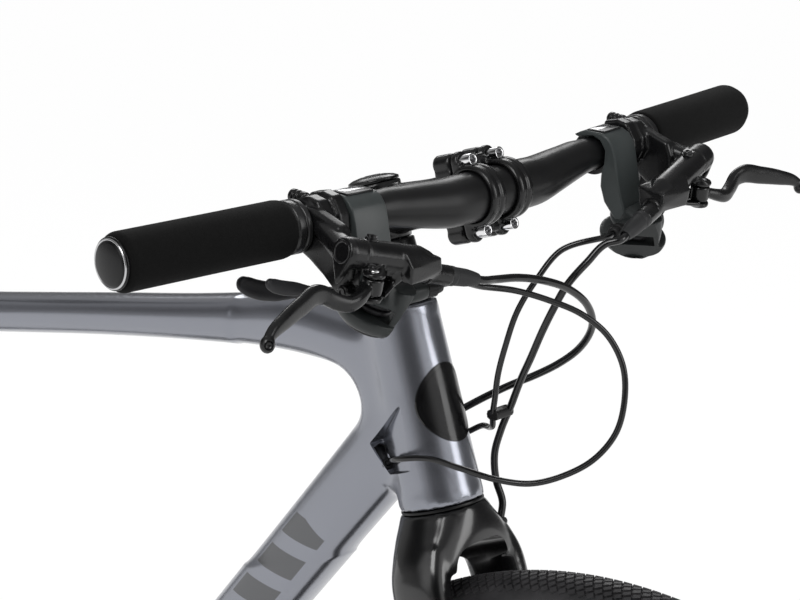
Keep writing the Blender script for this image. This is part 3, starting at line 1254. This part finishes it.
def make_brake(s, name):
    """Brake lever body with clamp, arm, master cylinder, hose tube, and the two ears of the pivot."""
    band = clamp_ring(s, lever_clamp_place, lever_clamp_width, 4.2)
    aim = Vector((brake_aim[0], s * brake_aim[1], brake_aim[2])).normalized()
    start = side_point(s, *brake_start)
    barrel = lathe([(0.0, 0.0), (0.0, 8.0), (1.2, 9.4), (58.0, 9.6), (66.0, 7.0), (66.0, 0.0)], start, aim,
                   10)
    tube_drop = Vector((0.0, 0.0, -6.0))
    tube = lathe([(40.0, 0.0), (40.0, 6.4), (83.0, 6.4), (83.0, 6.9), (98.0, 6.6), (107.0, 3.9),
                  (107.0, 0.0)], start + tube_drop, aim, 8)
    cover = start + aim * 58.0
    corners = ((-10, 10, 9), (-10, -12, 6), (8, 10, 9), (10, -12, 3), (11, 10, -4), (9, -14, -6),
               (-9, 8, -8), (-9, -12, -8))
    reservoir = hull([cover + Vector((dx, s * dy, dz)) for dx, dy, dz in corners])
    foot = bar_point(lever_clamp_place, s)
    arm_start = foot + Vector((13.0, 0.0, 1.0))
    arm_end = start + aim * 9.0 + Vector((-4.0, 0.0, 0.0))
    arm = sweep([arm_start, arm_start.lerp(arm_end, 0.5), arm_end], [(5.0, 8.0), (5.5, 7.0), (8.0, 7.0)],
                8, 4.0, side=(0.0, 1.0, 0.0))
    pivot = side_point(s, *lever_pivot)
    lean = Vector((pivot_lean[0], s * -pivot_lean[1], pivot_lean[2])).normalized()
    ear_in = lever_half_height + running_gap
    ears = [rod(pivot + lean * ear_in, pivot + lean * (ear_in + 3.4), 7.0, 8),
            rod(pivot - lean * ear_in, pivot - lean * (ear_in + 3.4), 7.0, 8)]
    upper_root = start + aim * 20.0 + Vector((0.0, 0.0, -4.0))
    lower_ear = pivot - lean * (ear_in + 1.7)
    back = pivot + Vector((-17.5, s * -3.0, 0.0))
    struts = [sweep([pivot + lean * (ear_in + 2.2) + Vector((-1.0, 0, 0)),
                     upper_root + Vector((-4.0, s * 2.0, 0.0))], [(5.0, 1.5), (6.5, 4.0)], 4, 8.0,
                    side=(0.0, 1.0, 0.0)),
              sweep([lower_ear + Vector((-2.0, 0.0, 0.0)), back - lean * (ear_in + 1.0)],
                    [(5.5, 1.7), (5.0, 2.4)], 4, 8.0, side=(0.0, 1.0, 0.0)),
              sweep([back - lean * (ear_in + 3.0), back + lean * 14.0,
                     start + aim * 14.0 + Vector((-8.0, 0.0, -2.0))],
                    [(5.0, 3.0), (5.0, 3.4), (5.5, 4.0)], 4, 8.0, side=(0.0, 1.0, 0.0))]
    pin = rod(pivot - lean * (ear_in + 3.0), pivot + lean * (ear_in + 4.2), lever_pin_radius, 8)
    bolt_centre = foot + Vector((-1.0, 0.0, lever_clamp_thickness + bar_end_diameter / 2 - 0.5))
    lug = block(bolt_centre, (15.0, lever_clamp_width - 1.0, 9.0), bevel=1.6)
    screw = rod(bolt_centre + Vector((3.0, 0.0, 0.0)), bolt_centre + Vector((-12.5, 0.0, 0.5)), 4.2, 8)
    hose = rod(start + tube_drop + aim * 99.0, start + tube_drop + aim * 108.0,
               hose_diameter / 2 + seat_gap, 10)
    bleed = rod(start + aim * 19.0 + Vector((1.0, 0.0, 7.0)),
                start + aim * 19.0 + Vector((2.5, 0.0, 12.0)), 3.6, 6)
    body = join(band, barrel, tube, reservoir, arm, *ears, *struts, pin, bleed, lug, screw)
    thin = bar_end_diameter / 2 + seat_gap
    bar_bore = rod(foot - bar_outward(s) * 20.0, foot + bar_outward(s) * 12.0, thin, 14)
    body = cut(body, bar_bore, hose)
    make_object("brake_body_" + name, body, looks["black"], foot)


lever_half_height = 5.2
lever_pin_radius = 2.6
lever_clamp_thickness = 4.2


def make_brake_lever(s, name):
    """The blade: a hub on the pivot pin, a cranked root, a flat finger and a ball tip."""
    pivot = side_point(s, *lever_pivot)
    lean = Vector((pivot_lean[0], s * -pivot_lean[1], pivot_lean[2])).normalized()
    hub = rod(pivot - lean * lever_half_height, pivot + lean * lever_half_height, 6.4, 10)
    stations = ((43.8, -1.0, -20.3, 5.0, 4.0), (47.5, 6.5, -22.0, 5.0, 2.9),
                (49.5, 13.0, -24.0, 4.8, 4.8), (49.5, 21.0, -25.5, 4.6, 5.2),
                (47.5, 30.0, -22.5, 4.2, 5.4), (46.0, 40.0, -17.5, 4.0, 6.0),
                (47.5, 52.0, -16.5, 3.8, 6.6), (50.5, 69.0, -18.0, 3.6, 6.4),
                (54.5, 84.0, -21.5, 3.6, 5.6), (57.5, 93.0, -26.0, 3.8, 4.6))
    points = [side_point(s, x, y, z) for x, y, z, _, _ in stations]
    blade = sweep(points, [(t, h) for _, _, _, t, h in stations], 8, 2.6, side=(1.0, 0.0, 0.0))
    ball = bmesh.new()
    bmesh.ops.create_uvsphere(ball, u_segments=8, v_segments=6, radius=6.2)
    bmesh.ops.translate(ball, verts=ball.verts, vec=side_point(s, 58.5, 96.5, -28.5))
    bore = rod(pivot - lean * 20.0, pivot + lean * 20.0, lever_pin_radius + seat_gap, 8)
    body = cut(join(hub, blade, ball), bore)
    make_object("brake_lever_" + name, body, looks["black"], pivot)


shift_pivot = (17.0, -35.0, -47.0)
shift_axis = (0.34, 0.16, 0.93)
pod_radius = 23.0
shift_post_radius = 6.0
socket_aim = (0.25, 0.96, 0.06)


def make_shifter(s, name):
    """Cover round the bar, the neck down its front, the round casing below and the adjuster's socket."""
    foot = bar_point(shifter_place, s)
    out = bar_outward(s)
    thin = bar_end_diameter / 2 + seat_gap
    half = shifter_width / 2
    band = clamp_ring(s, shifter_place, 18.0, 3.6)
    up = Vector((0.0, 0.0, 1.0))
    front = up.cross(out) * -s
    outline = [(-10.5, 12.5), (-3.0, 17.0), (11.0, 16.0), (18.0, 8.0), (22.0, -8.0), (27.5, -30.0),
               (33.0, -43.0), (21.0, -39.0), (13.0, -30.0), (9.0, -16.0), (12.3, -4.0), (11.5, 5.0),
               (4.0, 11.6), (-8.0, 10.5)]
    cover = bmesh.new()
    verts = [cover.verts.new(foot + front * x + up * z - out * (half - 2.0)) for x, z in outline]
    face = cover.faces.new(verts)
    grown = bmesh.ops.extrude_face_region(cover, geom=[face])
    moved = [g for g in grown["geom"] if isinstance(g, bmesh.types.BMVert)]
    bmesh.ops.translate(cover, verts=moved, vec=out * (shifter_width - 12.0))
    outward(cover)
    pivot = side_point(s, *shift_pivot)
    axis = Vector((shift_axis[0], s * -shift_axis[1], shift_axis[2])).normalized()
    r = pod_radius
    pod = lathe([(-11.0, 0.0), (-11.0, r - 9.0), (-8.0, r - 3.0), (-3.0, r), (0.5, r), (0.5, r - 8.0),
                 (1.0, 8.0), (1.0, shift_post_radius), (9.5, shift_post_radius), (9.5, r - 6.0),
                 (13.0, r - 5.0), (17.0, r - 10.0), (17.0, 0.0)], pivot, axis, 12)
    aim = Vector((socket_aim[0], s * -socket_aim[1], socket_aim[2])).normalized()
    socket_place = pivot + Vector((8.0, s * -14.0, 8.0))
    socket = rod(socket_place, socket_place + aim * 19.0, 6.2, 8)
    barrel = rod(socket_place + aim * 18.0, socket_place + aim * 31.0, 5.4, 10, 3.6)
    hole = rod(socket_place + aim * 24.5, socket_place + aim * 34.0,
               shift_cable_diameter / 2 + running_gap, 10)
    body = join(band, cover, pod, socket, barrel)
    bar_bore = rod(foot - out * 40.0, foot + out * 40.0, thin, 14)
    body = cut(body, bar_bore, hole)
    make_object("shifter_" + name, body, looks["shifter"], foot)


def make_shift_levers(s, name):
    """Main thumb lever and the smaller release lever, both turning on the pod's post."""
    pivot = side_point(s, *shift_pivot)
    axis = Vector((shift_axis[0], s * -shift_axis[1], shift_axis[2])).normalized()
    outboard = Vector((-0.55, s * 0.83, 0.0))
    outboard = (outboard - axis * outboard.dot(axis)).normalized()
    cross = axis.cross(outboard).normalized()
    for label, low, high, reach, lift, half in (("shift_lever_", 1.6, 4.6, 84.0, -9.0, 10.5),
                                                ("release_lever_", 5.6, 8.8, 62.0, 6.0, 5.5)):
        middle = (low + high) / 2
        thick = (high - low) / 2
        bore = turning_bore(shift_post_radius, 12)
        ring = lathe([(low, bore), (low, 11.0), (high, 11.0), (high, bore)], pivot, axis, 12, closed=True)
        path = [(9.0, 0.0, 6.0, thick), (26.0, 0.0, 6.0, thick),
                (reach * 0.55, lift * 0.5, 4.0, half * 0.45), (reach * 0.8, lift, 2.4, half),
                (reach, lift, 2.0, half * 0.65)]
        points = [pivot + outboard * a + axis * (middle + b) for a, b, _, _ in path]
        arm = sweep(points, [(w, t) for _, _, w, t in path], 8, 2.6, side=tuple(cross))
        make_object(label + name, join(ring, arm), looks["black"], pivot)


def make_cables():
    """The four outer cables, whole from the levers to their ports."""
    step = 13.0
    for name, diameter, route in cable_routes():
        cable(name, route, diameter, looks["black"], step)


def hose_exit(s):
    aim = Vector((brake_aim[0], s * brake_aim[1], brake_aim[2])).normalized()
    return side_point(s, *brake_start) + Vector((0.0, 0.0, -6.0)) + aim * 100.0, aim


def shift_exit(s):
    aim = Vector((socket_aim[0], s * -socket_aim[1], socket_aim[2])).normalized()
    place = side_point(s, *shift_pivot) + Vector((8.0, s * -14.0, 8.0))
    return place + aim * 26.0, aim


def from_head(*offsets):
    """Points given from the foot of the head tube."""
    return [head_bottom + Vector(offset) for offset in offsets]


def cable_routes():
    """Each cable with its size and its route, from its lever's outlet to the port that takes it."""
    right_hose, right_aim = hose_exit(-1)
    left_hose, left_aim = hose_exit(1)
    right_shift, right_shift_aim = shift_exit(-1)
    left_shift, left_shift_aim = shift_exit(1)
    port_aim_left = Vector((0.80, 0.20, 0.56)).normalized()
    port_aim_right = Vector((port_aim_left.x, -port_aim_left.y, port_aim_left.z))
    lower_left, upper_left = Vector(lower_port), Vector(upper_port)
    lower_right = Vector((lower_left.x, -lower_left.y, lower_left.z))
    tuck = 8.0
    rear_brake = [right_hose, right_hose + right_aim * 14.0]
    rear_brake += from_head((84, -34, 179), (86, -11, 171), (88, 11, 160), (87, 33, 145), (79, 50, 125),
                            (64, 57, 106), (47, 58, 92), (30, 55, 81), (14, 50, 72), (0, 44, 63),
                            (-14, 37, 53), (-26, 30, 44))
    rear_brake += [upper_left + port_aim_left * 3.0, upper_left - port_aim_left * tuck]
    rear_shift = [right_shift, right_shift + right_shift_aim * 14.0]
    rear_shift += from_head((69, -48, 169), (78, -27, 164), (90, -10, 157), (104, 5, 148), (116, 17, 134),
                            (125, 22, 115), (128, 21, 94), (126, 16, 73), (117, 6, 56), (103, -5, 45),
                            (85, -16, 38), (65, -25, 38), (42, -31, 41), (18, -35, 43), (-10, -35, 36))
    rear_shift += [lower_right + port_aim_right * 6.0, lower_right - port_aim_right * tuck]
    front_shift = [left_shift, left_shift + left_shift_aim * 14.0]
    front_shift += from_head((50, 52, 169), (43, 38, 152), (35, 29, 131), (30, 24, 108), (26, 22, 88),
                             (23, 23, 70), (20, 25, 59), (17, 29, 50), (11, 34, 46), (1, 38, 44),
                             (-10, 38, 39), (-24, 31, 31))
    front_shift += [lower_left + port_aim_left * 3.0, lower_left - port_aim_left * tuck]
    front_brake = [left_hose, left_hose + left_aim * 14.0]
    front_brake += from_head((81, 51, 180), (73, 44, 167), (64, 40, 153), (57, 38, 136), (49, 37, 118),
                             (41, 37, 100), (32, 38, 82), (25, 38, 64), (17, 38, 45), (12, 38, 27),
                             (13, 39, 9))
    front_brake += [fork_port + fork_port_aim * 12.0, fork_port + fork_port_aim * 3.0,
                    fork_port - fork_port_aim * 6.0]
    return [("rear_brake_hose", hose_diameter, rear_brake),
            ("rear_shift_cable", shift_cable_diameter, rear_shift),
            ("front_shift_cable", shift_cable_diameter, front_shift),
            ("front_brake_hose", hose_diameter, front_brake)]


def main():
    clear_scene()
    looks.clear()
    looks.update(make_looks())
    make_frame()
    make_bottom_bracket()
    make_headset()
    make_seatpost()
    make_saddle()
    make_wheel("rear", rear_axle, rear_hub_width, 33.0, 20.0)
    make_wheel("front", front_axle, front_hub_width, 22.0, 33.0)
    make_thru_axle("rear_thru_axle", rear_axle, dropout_inner + dropout_thickness, 1)
    make_thru_axle("front_thru_axle", front_axle, fork_dropout_inner + fork_dropout_thickness, 1)
    make_rear_caliper()
    make_cranks()
    make_pedals()
    make_cassette()
    make_chain()
    make_rear_derailleur()
    make_front_derailleur()
    make_fork()
    make_front_caliper()
    make_stem()
    make_handlebar()
    make_grips()
    for name, s in (("right", -1), ("left", 1)):
        make_brake(s, name)
        make_brake_lever(s, name)
        make_shifter(s, name)
        make_shift_levers(s, name)
    make_cables()


main()
